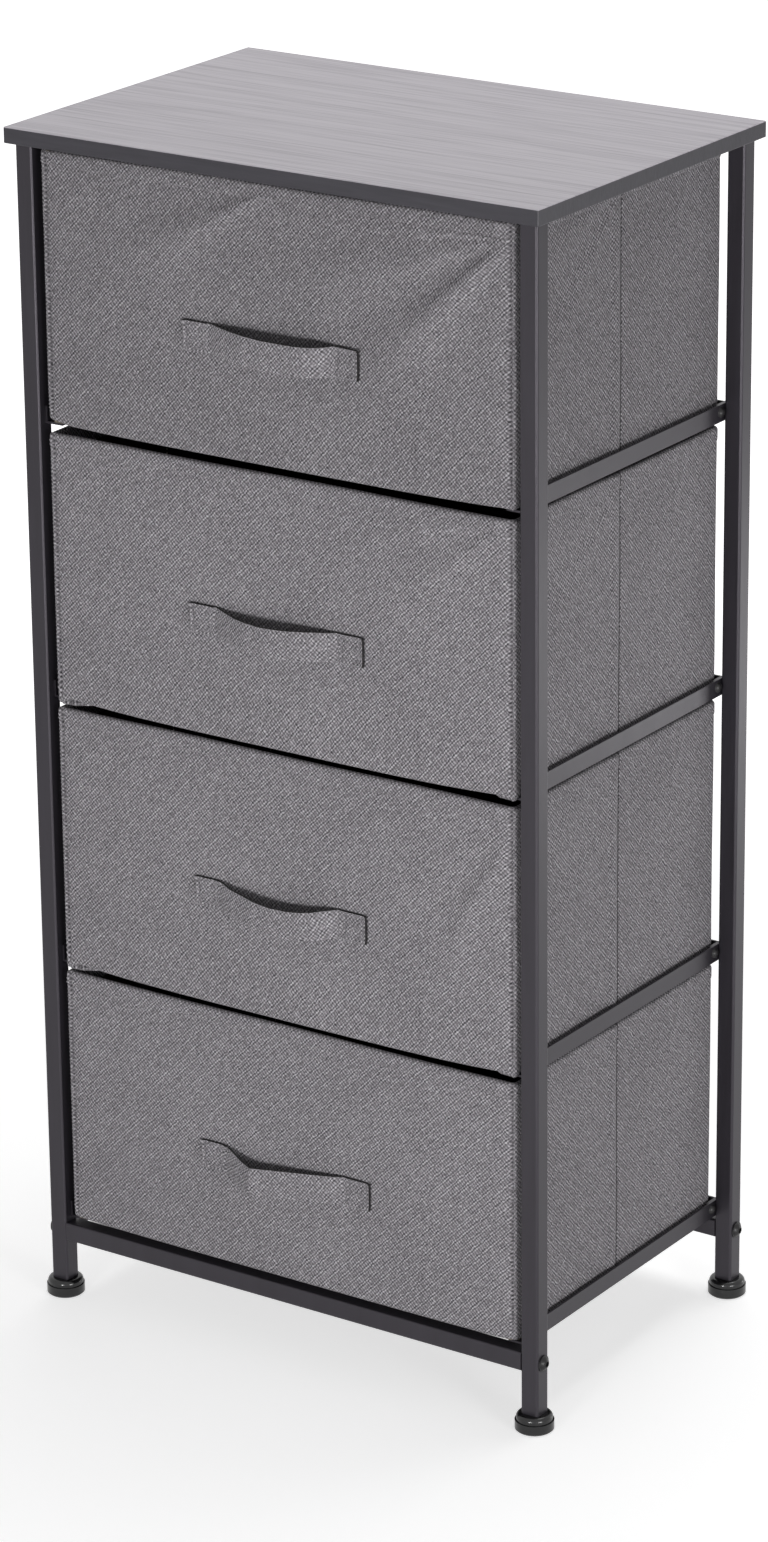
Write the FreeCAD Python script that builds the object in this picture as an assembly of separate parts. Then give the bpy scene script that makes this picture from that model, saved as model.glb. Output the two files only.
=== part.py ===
import FreeCAD, Part
import math
import os

from FreeCAD import Vector

# A narrow dresser: a steel tube frame under a wooden board, with fabric drawers
# that slide on angle rails. Millimetres, +X to the right, +Y to the back, +Z up.
# The origin is on the floor, under the middle of the board.
# Tiers are numbered from the floor up.

# Whole dresser
overall_height = 912.0
drawer_count = 4

# Board on top
board_width = 450.0
board_depth = 300.0
board_thickness = 12.0
board_edge_radius = 0.8
board_side_overhang = 5.0
board_front_overhang = 6.5

# Square steel tube of the legs and the bottom bars
tube_size = 14.5
tube_wall = 1.2
tube_corner_radius = 1.8
smallest_round = 0.3

# Feet pressed on to the leg ends
foot_flare = 7.25
foot_chamfer = 1.2
foot_rim_height = 8.0
foot_rim_step = 0.9
foot_dome_rise = 2.0
foot_dome_radius = 3.5
foot_seat_height = 5.0
foot_plug_length = 12.0
foot_fit = 0.1

# Lugs on the leg tops that the board is screwed to
lug_length = 22.0
lug_width = 12.0
lug_thickness = 2.0
board_screw_radius = 1.8
board_screw_head_radius = 3.6
board_screw_head_height = 1.9
board_screw_bite = 8.0
screw_fit = 0.05

# Angle rails that the drawers slide on
lowest_rail_height = 64.5
rail_height = 13.0
rail_thickness = 1.5
rail_end_inset = 7.0
ledge_reach = 9.5

# Rear cross bars, folded from strip, with a tab at each end
strip_thickness = 1.5
cross_bar_inset = 2.0
tab_margin = 2.0
rail_bolt_radius = 2.0
rail_bolt_head_radius = 4.0
rail_bolt_head_height = 2.8
rail_bolt_tail = 0.5
rail_bolt_leg_gap = 0.5
bolt_hole_clearance = 0.1

# Bottom bars between the legs, front and back
bar_rail_gap = 3.2
insert_length = 16.0
insert_fit = 0.05
bar_bolt_radius = 3.0
bar_bolt_head_radius = 5.4
bar_bolt_head_height = 3.2
bar_bolt_washer_radius = 6.2
bar_bolt_washer_thickness = 1.0
bar_bolt_bite = 12.0
bar_bolt_key_radius = 2.3
bar_bolt_key_depth = 1.8

# Drawers: a sewn cover and lining with stiffeners in the walls
drawer_side_gap = 2.0
drawer_setback = 3.0
drawer_back_gap = 0.5
drawer_ride_gap = 0.3
drawer_head_gap = 5.2
drawer_top_gap = 0.5
cover_thickness = 1.0
cover_corner_radius = 5.0
stiffener_thickness = 2.5
stiffener_fold_gap = 3.0
lining_thickness = 0.6
floor_panel_thickness = 3.0
floor_panel_play = 1.0

# Strap handles sewn to the drawer fronts
strap_width = 22.5
strap_length = 150.0
strap_sewn_length = 21.0
strap_thickness = 2.0
strap_bulge = 12.0
strap_drop = 15.5

# Places that follow from the sizes above
board_bottom = overall_height - board_thickness
leg_x = board_width / 2 - board_side_overhang - tube_size / 2
leg_y = board_depth / 2 - board_front_overhang - tube_size / 2
leg_inner_x = leg_x - tube_size / 2
leg_outer_x = leg_x + tube_size / 2
leg_front_y = -leg_y - tube_size / 2
tube_bore_half = tube_size / 2 - tube_wall
tube_bore_radius = max(tube_corner_radius - tube_wall, smallest_round)

rail_inner_x = leg_inner_x - rail_thickness
rail_end_y = leg_y + tube_size / 2 - rail_end_inset
cross_bar_back_y = rail_end_y - cross_bar_inset
cross_bar_front_y = cross_bar_back_y - strip_thickness
tab_inner_x = rail_inner_x - strip_thickness
rail_bolt_y = leg_y - tube_size / 2 - rail_bolt_leg_gap - rail_bolt_head_radius
tab_front_y = rail_bolt_y - rail_bolt_radius - tab_margin
foot_radius = tube_size / 2 + foot_flare
foot_dome_height = foot_rim_height + foot_dome_rise
foot_height = foot_dome_height + foot_dome_radius
bar_center_z = lowest_rail_height - bar_rail_gap - tube_size / 2

drawer_half_width = tab_inner_x - rail_bolt_tail - drawer_side_gap
drawer_front_y = leg_front_y + drawer_setback
drawer_back_y = cross_bar_front_y - drawer_back_gap
drawer_stack_height = board_bottom - lug_thickness - drawer_top_gap - lowest_rail_height
drawer_share = (drawer_stack_height + drawer_head_gap) / drawer_count
drawer_height = drawer_share - drawer_head_gap - rail_thickness - drawer_ride_gap
ledge_inner_x = drawer_half_width - ledge_reach
wall_depth = cover_thickness + stiffener_thickness + lining_thickness
stiffener_end_inset = max(cover_corner_radius, cover_thickness + stiffener_thickness)

left_and_right = {"left": -1, "right": 1}
front_and_back = {"front": -1, "back": 1}
across = Vector(1, 0, 0)
up = Vector(0, 0, 1)
middle = Vector(0, 0, 0)


def save(name, shape):
    shape.exportStep("parts/" + name + ".step")


def block(x, y, z):
    # Each of x, y and z is a low and a high end.
    return Part.makeBox(x[1] - x[0], y[1] - y[0], z[1] - z[0], Vector(x[0], y[0], z[0]))


def rounded_block(x, y, z, radius):
    # A block whose upright edges are rounded.
    body = block(x, y, z)
    upright = [edge for edge in body.Edges if abs(edge.tangentAt(edge.FirstParameter).z) > 0.5]
    return body.makeFillet(radius, upright)


def mirrored(shape, side):
    # Shapes are made for the right side, where side is 1.
    return shape if side > 0 else shape.mirror(middle, across)


def square_tube(length):
    # An upright tube that stands on the origin.
    half = tube_size / 2
    inner = tube_bore_half
    outside = rounded_block((-half, half), (-half, half), (0, length), tube_corner_radius)
    bore = rounded_block((-inner, inner), (-inner, inner), (0, length), tube_bore_radius)
    return outside.cut(bore)


def rail_bottom(tier):
    return lowest_rail_height + (tier - 1) * drawer_share


def top_board():
    x = (-board_width / 2, board_width / 2)
    y = (-board_depth / 2, board_depth / 2)
    slab = block(x, y, (board_bottom, overall_height))
    slab = slab.makeFillet(board_edge_radius, slab.Edges)
    for side in left_and_right.values():
        for end in front_and_back.values():
            base = Vector(side * (leg_inner_x - lug_length / 2), end * leg_y, board_bottom)
            slab = slab.cut(Part.makeCylinder(board_screw_radius + screw_fit, board_screw_bite, base, up))
    return slab


def leg(side, end):
    tube = square_tube(board_bottom - foot_seat_height)
    tube.translate(Vector(side * leg_x, end * leg_y, foot_seat_height))
    start = Vector(side * leg_x - tube_size, end * leg_y, bar_center_z)
    hole_radius = bar_bolt_radius + bolt_hole_clearance
    return tube.cut(Part.makeCylinder(hole_radius, 2 * tube_size, start, across))


def foot(side, end):
    # A turned disc with a domed top, a square socket for the tube and a plug inside it.
    rim = foot_radius
    shoulder = foot_radius - foot_rim_step
    collar = shoulder - foot_dome_radius
    slope = foot_dome_radius * math.sqrt(0.5)
    corners = [
        Vector(shoulder, 0, foot_dome_height),
        Vector(shoulder, 0, foot_rim_height),
        Vector(rim, 0, foot_rim_height),
        Vector(rim, 0, foot_chamfer),
        Vector(rim - foot_chamfer, 0, 0),
        Vector(0, 0, 0),
        Vector(0, 0, foot_height),
        Vector(collar, 0, foot_height),
    ]
    bend = Vector(collar + slope, 0, foot_dome_height + slope)
    dome = Part.Arc(corners[-1], bend, corners[0]).toShape()
    sides = [Part.LineSegment(a, b).toShape() for a, b in zip(corners, corners[1:])]
    profile = Part.Face(Part.Wire(sides + [dome]))
    body = profile.revolve(middle, up, 360)
    outer = tube_size / 2 + foot_fit
    inner = tube_bore_half - foot_fit
    outside = (-outer, outer)
    inside = (-inner, inner)
    socket = rounded_block(outside, outside, (foot_seat_height, foot_height), tube_corner_radius)
    plug_top = foot_seat_height + foot_plug_length
    plug = rounded_block(inside, inside, (foot_seat_height, plug_top), tube_bore_radius)
    body = body.cut(socket).fuse(plug).removeSplitter()
    body.translate(Vector(side * leg_x, end * leg_y, 0))
    return body


def board_lug(side, end):
    x = (leg_inner_x - lug_length, leg_inner_x)
    y = (end * leg_y - lug_width / 2, end * leg_y + lug_width / 2)
    plate = block(x, y, (board_bottom - lug_thickness, board_bottom))
    base = Vector(leg_inner_x - lug_length / 2, end * leg_y, board_bottom - lug_thickness)
    hole = Part.makeCylinder(board_screw_radius + screw_fit, lug_thickness, base, up)
    wide = board_screw_head_radius + screw_fit
    narrow = board_screw_radius + screw_fit
    sink = Part.makeCone(wide, narrow, board_screw_head_height, base, up)
    return mirrored(plate.cut(hole).cut(sink), side)


def board_screws():
    # Countersunk screws, driven up through the lugs into the board.
    screws = []
    length = lug_thickness + board_screw_bite - screw_fit
    for side in left_and_right.values():
        for end in front_and_back.values():
            base = Vector(side * (leg_inner_x - lug_length / 2), end * leg_y, board_bottom - lug_thickness)
            shank = Part.makeCylinder(board_screw_radius, length, base, up)
            head_height = board_screw_head_height
            head = Part.makeCone(board_screw_head_radius, board_screw_radius, head_height, base, up)
            screws.append(shank.fuse(head).removeSplitter())
    return Part.makeCompound(screws)


def side_rail(side, tier):
    bottom = rail_bottom(tier)
    y = (-rail_end_y, rail_end_y)
    flange = block((rail_inner_x, leg_inner_x), y, (bottom, bottom + rail_height))
    ledge = block((ledge_inner_x, leg_inner_x), y, (bottom, bottom + rail_thickness))
    angle = flange.fuse(ledge).removeSplitter()
    return mirrored(angle.cut(rail_bolt_hole(tier)), side)


def rail_bolt_height(tier):
    return rail_bottom(tier) + (rail_thickness + rail_height) / 2


def rail_bolt_hole(tier):
    start = Vector(tab_inner_x, rail_bolt_y, rail_bolt_height(tier))
    length = leg_inner_x - tab_inner_x
    return Part.makeCylinder(rail_bolt_radius + bolt_hole_clearance, length, start, across)


def cross_bar(tier):
    # A strip on edge that rests on the ledges, its ends folded forward along the rails.
    z = (rail_bottom(tier) + rail_thickness, rail_bottom(tier) + rail_height)
    strip = block((-rail_inner_x, rail_inner_x), (cross_bar_front_y, cross_bar_back_y), z)
    tab = block((tab_inner_x, rail_inner_x), (tab_front_y, cross_bar_back_y), z)
    tab = tab.cut(rail_bolt_hole(tier))
    for side in left_and_right.values():
        strip = strip.fuse(mirrored(tab, side))
    return strip.removeSplitter()


def button_head(radius, height, base, direction):
    # A low dome: the cap of a ball, cut off by the plane of its rim.
    ball_radius = (radius ** 2 + height ** 2) / (2 * height)
    way = Vector(direction)
    ball = Part.makeSphere(ball_radius, base - way * (ball_radius - height))
    return ball.common(Part.makeCylinder(radius, height, base, way))


def rail_bolts():
    bolts = []
    length = leg_inner_x - tab_inner_x + rail_bolt_tail
    for tier in range(1, drawer_count + 1):
        seat = Vector(leg_inner_x, rail_bolt_y, rail_bolt_height(tier))
        shank = Part.makeCylinder(rail_bolt_radius, length, seat, -across)
        head = button_head(rail_bolt_head_radius, rail_bolt_head_height, seat, across)
        bolt = shank.fuse(head).removeSplitter()
        bolts += [mirrored(bolt, side) for side in left_and_right.values()]
    return Part.makeCompound(bolts)


def bottom_bar(end):
    bar = square_tube(2 * leg_inner_x)
    bar.rotate(middle, Vector(0, 1, 0), 90)
    bar.translate(Vector(-leg_inner_x, end * leg_y, bar_center_z))
    return bar


def bar_inserts():
    # Threaded plugs in the ends of the bottom bars.
    inserts = []
    half = tube_bore_half - insert_fit
    for end in front_and_back.values():
        body = rounded_block((-half, half), (-half, half), (0, insert_length), tube_bore_radius)
        body.rotate(middle, Vector(0, 1, 0), -90)
        bore = Part.makeCylinder(bar_bolt_radius + screw_fit, bar_bolt_bite, middle, -across)
        body = body.cut(bore)
        body.translate(Vector(leg_inner_x, end * leg_y, bar_center_z))
        inserts += [mirrored(body, side) for side in left_and_right.values()]
    return Part.makeCompound(inserts)


def bar_bolts():
    # Flanged bolts, through both walls of a leg into the bottom bar's end.
    bolts = []
    length = tube_size + bar_bolt_bite - screw_fit
    for end in front_and_back.values():
        seat = Vector(leg_outer_x, end * leg_y, bar_center_z)
        crown = seat + across * bar_bolt_washer_thickness
        shank = Part.makeCylinder(bar_bolt_radius, length, seat, -across)
        washer = Part.makeCylinder(bar_bolt_washer_radius, bar_bolt_washer_thickness, seat, across)
        head = button_head(bar_bolt_head_radius, bar_bolt_head_height, crown, across)
        key = hexagon_key(crown + across * (bar_bolt_head_height - bar_bolt_key_depth))
        bolt = shank.fuse(washer).fuse(head).removeSplitter().cut(key)
        bolts += [mirrored(bolt, side) for side in left_and_right.values()]
    return Part.makeCompound(bolts)


def hexagon_key(base):
    # The hexagonal recess that a key turns the bolt by.
    turns = [math.radians(60 * step) for step in range(7)]
    rim = [base + Vector(0, math.cos(turn), math.sin(turn)) * bar_bolt_key_radius for turn in turns]
    return Part.Face(Part.makePolygon(rim)).extrude(across * bar_bolt_key_depth)


def drawer_span(tier):
    low = rail_bottom(tier) + rail_thickness + drawer_ride_gap
    return low, low + drawer_height


def drawer_room(inset, z):
    # The drawer's outline drawn in by inset on all four sides, between two heights.
    half = drawer_half_width - inset
    radius = max(cover_corner_radius - inset, smallest_round)
    return rounded_block((-half, half), (drawer_front_y + inset, drawer_back_y - inset), z, radius)


def drawer_cover(tier):
    # The outer bag, hemmed over the top of the walls.
    low, high = drawer_span(tier)
    bag = drawer_room(0, (low, high))
    pocket = drawer_room(cover_thickness, (low + cover_thickness, high - cover_thickness))
    mouth = drawer_room(wall_depth, (high - cover_thickness, high))
    return bag.cut(pocket).cut(mouth)


def drawer_lining(tier):
    low, high = drawer_span(tier)
    base = low + cover_thickness
    top = high - cover_thickness
    bag = drawer_room(wall_depth - lining_thickness, (base, top))
    return bag.cut(drawer_room(wall_depth, (base + lining_thickness, top)))


def wall_room(tier):
    low, high = drawer_span(tier)
    return low + cover_thickness, high - cover_thickness


def end_stiffener(tier, end):
    # The panel in the front or the back wall, from one rounded corner to the other.
    z = wall_room(tier)
    half = drawer_half_width - stiffener_end_inset
    face = drawer_front_y + cover_thickness if end < 0 else drawer_back_y - cover_thickness
    y = sorted((face, face - end * stiffener_thickness))
    return block((-half, half), y, z)


def side_stiffeners(tier):
    # Two panels in each side wall, apart at the fold where the drawer collapses.
    z = wall_room(tier)
    outer = drawer_half_width - cover_thickness
    x = (outer - stiffener_thickness, outer)
    fold_y = (drawer_front_y + drawer_back_y) / 2
    front_half = block(x, (drawer_front_y + stiffener_end_inset, fold_y - stiffener_fold_gap / 2), z)
    back_half = block(x, (fold_y + stiffener_fold_gap / 2, drawer_back_y - stiffener_end_inset), z)
    right = [front_half, back_half]
    return Part.makeCompound(right + [mirrored(panel, -1) for panel in right])


def floor_panel(tier):
    # The loose board that lies on the lining's floor.
    inset = wall_depth + floor_panel_play
    half = drawer_half_width - inset
    base = drawer_span(tier)[0] + cover_thickness + lining_thickness
    y = (drawer_front_y + inset, drawer_back_y - inset)
    return block((-half, half), y, (base, base + floor_panel_thickness))


def strap_line(stand_off):
    # Half of the strap's plan, from its free middle to its sewn end: a crown that is
    # curved one way and a foot that is curved the other, both of one radius, which
    # meet on a shared tangent. stand_off is how far this face lies off the inner one.
    run = strap_length / 2 - strap_sewn_length
    bend = (run ** 2 + strap_bulge ** 2) / (4 * strap_bulge)
    turn = math.asin(run / 2 / bend)
    crown = [bend_point(0, strap_bulge - bend, bend + stand_off, turn * part) for part in (0, 0.5, 1)]
    foot_arc = [bend_point(run, bend, stand_off - bend, turn * part) for part in (1, 0.5, 0)]
    return crown, foot_arc


def bend_point(x, stand, radius, turn):
    return Vector(x + radius * math.sin(turn), drawer_front_y - stand - radius * math.cos(turn), 0)


def strap_handle(tier):
    low, high = drawer_span(tier)
    inner_crown, inner_foot = strap_line(0)
    outer_crown, outer_foot = strap_line(strap_thickness)
    inner_end = Vector(strap_length / 2, drawer_front_y, 0)
    outer_end = Vector(strap_length / 2, drawer_front_y - strap_thickness, 0)
    edges = [
        Part.Arc(*inner_crown).toShape(),
        Part.Arc(*inner_foot).toShape(),
        Part.LineSegment(inner_foot[-1], inner_end).toShape(),
        Part.LineSegment(inner_end, outer_end).toShape(),
        Part.LineSegment(outer_end, outer_foot[-1]).toShape(),
        Part.Arc(*reversed(outer_foot)).toShape(),
        Part.Arc(*reversed(outer_crown)).toShape(),
        Part.LineSegment(outer_crown[0], inner_crown[0]).toShape(),
    ]
    plan = Part.Face(Part.Wire(edges))
    half = plan.extrude(up * strap_width)
    half.translate(up * ((low + high) / 2 - strap_drop - strap_width / 2))
    return half.fuse(mirrored(half, -1)).removeSplitter()


def save_frame():
    save("top_board", top_board())
    for end_name, end in front_and_back.items():
        save("bottom_bar_" + end_name, bottom_bar(end))
        for side_name, side in left_and_right.items():
            corner = end_name + "_" + side_name
            save("leg_" + corner, leg(side, end))
            save("foot_" + corner, foot(side, end))
            save("board_lug_" + corner, board_lug(side, end))
    for tier in range(1, drawer_count + 1):
        save("cross_bar_" + str(tier), cross_bar(tier))
        for side_name, side in left_and_right.items():
            save("side_rail_" + str(tier) + "_" + side_name, side_rail(side, tier))
    save("bar_inserts", bar_inserts())
    save("bar_bolts", bar_bolts())
    save("rail_bolts", rail_bolts())
    save("board_screws", board_screws())


def save_drawer(tier):
    name = "drawer_" + str(tier)
    save(name + "_cover", drawer_cover(tier))
    save(name + "_lining", drawer_lining(tier))
    save(name + "_front_stiffener", end_stiffener(tier, front_and_back["front"]))
    save(name + "_back_stiffener", end_stiffener(tier, front_and_back["back"]))
    save(name + "_side_stiffeners", side_stiffeners(tier))
    save(name + "_floor_panel", floor_panel(tier))
    save(name + "_handle", strap_handle(tier))


os.makedirs("parts", exist_ok=True)
save_frame()
for tier in range(1, drawer_count + 1):
    save_drawer(tier)
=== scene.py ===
import math

import bmesh
import bpy
import numpy as np
from mathutils import Matrix, Vector


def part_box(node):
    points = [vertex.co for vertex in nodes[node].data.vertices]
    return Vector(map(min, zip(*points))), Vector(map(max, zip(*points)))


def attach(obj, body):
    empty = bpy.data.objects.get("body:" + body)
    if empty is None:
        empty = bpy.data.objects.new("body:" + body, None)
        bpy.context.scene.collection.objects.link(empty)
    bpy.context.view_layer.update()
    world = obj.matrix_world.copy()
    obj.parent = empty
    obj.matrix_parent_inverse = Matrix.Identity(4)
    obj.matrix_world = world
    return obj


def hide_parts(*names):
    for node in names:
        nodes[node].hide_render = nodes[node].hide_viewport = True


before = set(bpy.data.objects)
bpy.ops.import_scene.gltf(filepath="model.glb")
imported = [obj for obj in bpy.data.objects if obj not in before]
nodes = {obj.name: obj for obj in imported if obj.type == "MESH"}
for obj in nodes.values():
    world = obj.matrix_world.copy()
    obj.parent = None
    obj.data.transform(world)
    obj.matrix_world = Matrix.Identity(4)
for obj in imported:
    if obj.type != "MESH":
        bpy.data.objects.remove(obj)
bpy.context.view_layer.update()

tiers = (1, 2, 3, 4)             # drawers, counted from the floor up
mm = 0.001
print("frame loaded,", len(nodes), "nodes")


def gridCorners(values):
    # the four corners of each cell of a grid, cell after cell, whatever the grid holds
    corners = np.stack([values[:-1, :-1], values[:-1, 1:], values[1:, 1:], values[1:, :-1]], 2)
    return corners.reshape(-1, values.shape[-1])


def gridQuads(rows, columns, wrap=False):
    # point numbers of the quads of a grid; wrap joins its last column to its first
    number = np.arange(rows * columns).reshape(rows, columns, 1)
    if wrap:
        number = np.hstack([number, number[:, :1]])
    return gridCorners(number).reshape(-1, 4)


def newObject(name, data):
    # an object of this mesh, lamp or camera, put into the scene
    thing = bpy.data.objects.new(name, data)
    bpy.context.scene.collection.objects.link(thing)
    return thing


def newPiece(name, points, quads, material, body, uv=None, merge=0.0, second=None):
    # a smooth mesh whose place is in its points, riding on one body; second holds another material
    # and which of the faces have it
    mesh = bpy.data.meshes.new(name)
    mesh.from_pydata(points.reshape(-1, 3).tolist(), [], quads.tolist())
    if second is not None:
        mesh.polygons.foreach_set("material_index", second[1].astype(np.int32).ravel())
    if uv is not None:
        mesh.uv_layers.new(name="cloth").data.foreach_set("uv", uv.astype(np.float32).ravel())
    if merge:
        shape = bmesh.new()
        shape.from_mesh(mesh)
        bmesh.ops.remove_doubles(shape, verts=shape.verts, dist=merge)
        shape.to_mesh(mesh)
        shape.free()
    mesh.shade_smooth()
    mesh.materials.append(material)
    if second is not None:
        mesh.materials.append(second[0])
    piece = newObject(name, mesh)
    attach(piece, body)
    return piece


def thicken(piece, thickness):
    # gives a cloth surface its thickness, towards its back
    solid = piece.modifiers.new("thickness", "SOLIDIFY")
    solid.thickness = thickness
    solid.offset = -1


def smoothStep(value, low, high):
    # 0 up to low, 1 from high on, and in between a cubic that starts and ends level
    part = np.clip((value - low) / (high - low), 0, 1)
    return part * part * (3 - 2 * part)


def bell(value, middle, width):
    # 1 in the middle, falling off alike on both sides, to 0.37 at the width
    return np.exp(-((value - middle) / width) ** 2)


def runLength(points):
    # the length run along a row of points, up to each of them
    return np.concatenate([[0], np.cumsum(np.linalg.norm(np.diff(points, axis=0), axis=1))])


def colour(red, green, blue):
    # screen colour, 0 to 255, to the linear colour that shaders take
    screen = np.array([red, green, blue]) / 255
    linear = np.where(screen <= 0.04045, screen / 12.92, ((screen + 0.055) / 1.055) ** 2.4)
    return (*linear.tolist(), 1)


def newMaterial(name, sockets):
    material = bpy.data.materials.new(name)
    material.use_nodes = True
    shader = material.node_tree.nodes["Principled BSDF"]
    for socket, value in sockets.items():
        shader.inputs[socket].default_value = value
    return material, material.node_tree, shader


def addNode(tree, kind, inputs=None, **settings):
    node = tree.nodes.new("ShaderNode" + kind)
    for name, value in settings.items():
        setattr(node, name, value)
    for name, value in (inputs or {}).items():
        if isinstance(value, bpy.types.NodeSocket):
            tree.links.new(value, node.inputs[name])
        else:
            node.inputs[name].default_value = value
    return node


def calculate(tree, operation, *values):
    # the answer of one sum on sockets or numbers
    return addNode(tree, "Math", dict(enumerate(values)), operation=operation).outputs[0]


def noiseOn(tree, place, size, stretch=(1, 1, 1), turn=0.0, detail=2.0, roughness=0.5):
    # noise whose blotches are about size metres across, drawn out by stretch
    scale = tuple(size * part for part in stretch)
    mapping = {"Vector": place, "Rotation": (0, 0, turn), "Scale": scale}
    mapped = addNode(tree, "Mapping", mapping, vector_type="TEXTURE").outputs[0]
    texture = {"Vector": mapped, "Scale": 1, "Detail": detail, "Roughness": roughness}
    return addNode(tree, "TexNoise", texture).outputs["Fac"]


def rampOn(tree, factor, stops):
    # colours in between the stops, each a place from 0 to 1 and a screen colour
    ramp = addNode(tree, "ValToRGB", {"Fac": factor})
    marks = ramp.color_ramp.elements
    while len(marks) < len(stops):
        marks.new(0.5)
    for mark, (place, tint) in zip(marks, stops):
        mark.position = place
        mark.color = colour(*tint)
    return ramp.outputs["Color"]


def rangeOn(tree, factor, low, high):
    # from low to high as the factor goes from 0 to 1
    return addNode(tree, "MapRange", {"Value": factor, "To Min": low, "To Max": high}).outputs["Result"]


def paint(tree, shader, factor, stops):
    # the surface's colour, in between the stops
    tree.links.new(rampOn(tree, factor, stops), shader.inputs["Base Color"])


def roughen(tree, shader, factor, low, high):
    # the surface's roughness, in between the two
    tree.links.new(rangeOn(tree, factor, low, high), shader.inputs["Roughness"])


def raiseBumps(tree, shader, height, distance, strength):
    # relief that only bends the light: full height stands this distance out
    bump = addNode(tree, "Bump", {"Height": height, "Distance": distance, "Strength": strength})
    tree.links.new(bump.outputs["Normal"], shader.inputs["Normal"])


clothLook = {
    "dark": (54, 52, 56),        # yarn in the furrows
    "middle": (121, 118, 122),
    "light": (200, 197, 202),    # yarn on the ribs
    "stops": (0.12, 0.5, 0.88),  # tones at which these three stand
    "tones": {1: 0.99, 2: 0.99, 3: 0.99, 4: 0.945},     # tone of each drawer's cloth; the top drawer's is darker, painted shade under the board
    "straps": 1.0,
    "folds": 0.58,               # painted shade in the folds of the side walls: the cloth there is this much darker
    # ribs that rise one way (1) or the other (-1): spacing across them, share in the tone, size of the
    # patches where they show
    "ribs": ((1, 1.75 * mm, 0.09, 3 * mm), (1, 2.4 * mm, 0.12, 4 * mm), (-1, 2.3 * mm, 0.13, 4 * mm)),
    "ribHeight": 0.4,
    "patchContrast": 2.6,        # how sharply the patches end
    "patchStart": -0.3,
    "wander": 3.0 * mm,          # how far the ribs stray
    "wanderSize": 4 * mm,
    # size in metres, stretch along the ribs, and share in the tone of the mixed yarn's blotches
    "blotches": ((1.8 * mm, 1.5, 0.7), (4 * mm, 1.5, 0.22), (9 * mm, 1, 0.16), (70 * mm, 1, 0.10)),
    "relief": 0.09 * mm,
    "sheen": 0.04,
}


def makeCloth(name, look, shade):
    # twill: diagonal ribs of short floats, spun from light and dark fibres, drawn on the cloth's own metres
    material, tree, shader = newMaterial(name, {
        "Roughness": 0.92, "Sheen Weight": look["sheen"], "Sheen Roughness": 0.45,
        "Specular IOR Level": 0.25})
    place = addNode(tree, "UVMap", uv_map="cloth").outputs["UV"]
    parts = addNode(tree, "SeparateXYZ", {"Vector": place})
    wander = noiseOn(tree, place, look["wanderSize"])
    tone, height = 0.5, 0.0
    for way, spacing, share, patch in look["ribs"]:
        # a wave across the ribs: the sum or difference of the two directions, bent by the wander
        across = calculate(tree, "MULTIPLY_ADD", parts.outputs["Y"], -way, parts.outputs["X"])
        across = calculate(tree, "MULTIPLY_ADD", wander, look["wander"], across)
        turns = 2 * math.pi / (spacing * math.sqrt(2))
        rib = calculate(tree, "SINE", calculate(tree, "MULTIPLY", across, turns))
        patches = noiseOn(tree, place, patch, detail=1)
        clear = calculate(tree, "MULTIPLY_ADD", patches, look["patchContrast"], look["patchStart"])
        rib = calculate(tree, "MULTIPLY", rib, clear)
        tone = calculate(tree, "MULTIPLY_ADD", rib, share, tone)
        height = calculate(tree, "MULTIPLY_ADD", rib, look["ribHeight"], height)
    for size, stretch, share in look["blotches"]:
        blotch = noiseOn(tree, place, size, (stretch, 1, 1), math.radians(45), roughness=0.7)
        tone = calculate(tree, "MULTIPLY_ADD", calculate(tree, "SUBTRACT", blotch, 0.5), share, tone)
    tints = [np.array(look[key]) * shade for key in ("dark", "middle", "light")]
    paint(tree, shader, tone, list(zip(look["stops"], tints)))
    raiseBumps(tree, shader, calculate(tree, "ADD", height, tone), look["relief"], 0.8)
    return material


liningLook = {
    "colour": (40, 34, 30),
    "worn": (60, 52, 45),
    "dotSpacing": 1.6 * mm,      # the bonding dots pressed into the felt
    "fibres": 1.2 * mm,
    "wear": 35 * mm,             # size of the worn patches
    "relief": 0.12 * mm,
}


def makeLining(name, look):
    # thin felt, bonded in a grid of pressed dots
    material, tree, shader = newMaterial(name, {
        "Roughness": 0.85, "Sheen Weight": 0.1, "Specular IOR Level": 0.3})
    place = addNode(tree, "UVMap", uv_map="cloth").outputs["UV"]
    parts = addNode(tree, "SeparateXYZ", {"Vector": place}).outputs
    turns = 2 * math.pi / look["dotSpacing"]
    waves = [calculate(tree, "SINE", calculate(tree, "MULTIPLY", parts[axis], turns)) for axis in ("X", "Y")]
    dots = calculate(tree, "MULTIPLY", *waves)
    fibres = noiseOn(tree, place, look["fibres"], (3, 1, 1), 0.4, 4, 0.7)
    wear = noiseOn(tree, place, look["wear"], detail=4)
    mixed = calculate(tree, "MULTIPLY_ADD", calculate(tree, "SUBTRACT", fibres, 0.5), 0.8, wear)
    paint(tree, shader, mixed, [(0.35, look["colour"]), (0.8, look["worn"])])
    raiseBumps(tree, shader, calculate(tree, "MULTIPLY_ADD", dots, 0.6, fibres), look["relief"], 0.8)
    return material


threadLook = {"grey": (144, 141, 146), "hem": (138, 135, 140), "white": (206, 200, 190), "twist": 0.5 * mm}


def makeThread(name, tint, twist):
    # spun thread, lighter and darker along its twist
    material, tree, shader = newMaterial(name, {"Roughness": 0.7, "Sheen Weight": 0.2})
    place = addNode(tree, "TexCoord").outputs["Object"]
    plies = noiseOn(tree, place, twist, detail=1)
    base = np.array(tint)
    paint(tree, shader, plies, [(0.3, base * 0.8), (0.7, base)])
    raiseBumps(tree, shader, plies, 0.1 * mm, 0.5)
    return material


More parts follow.
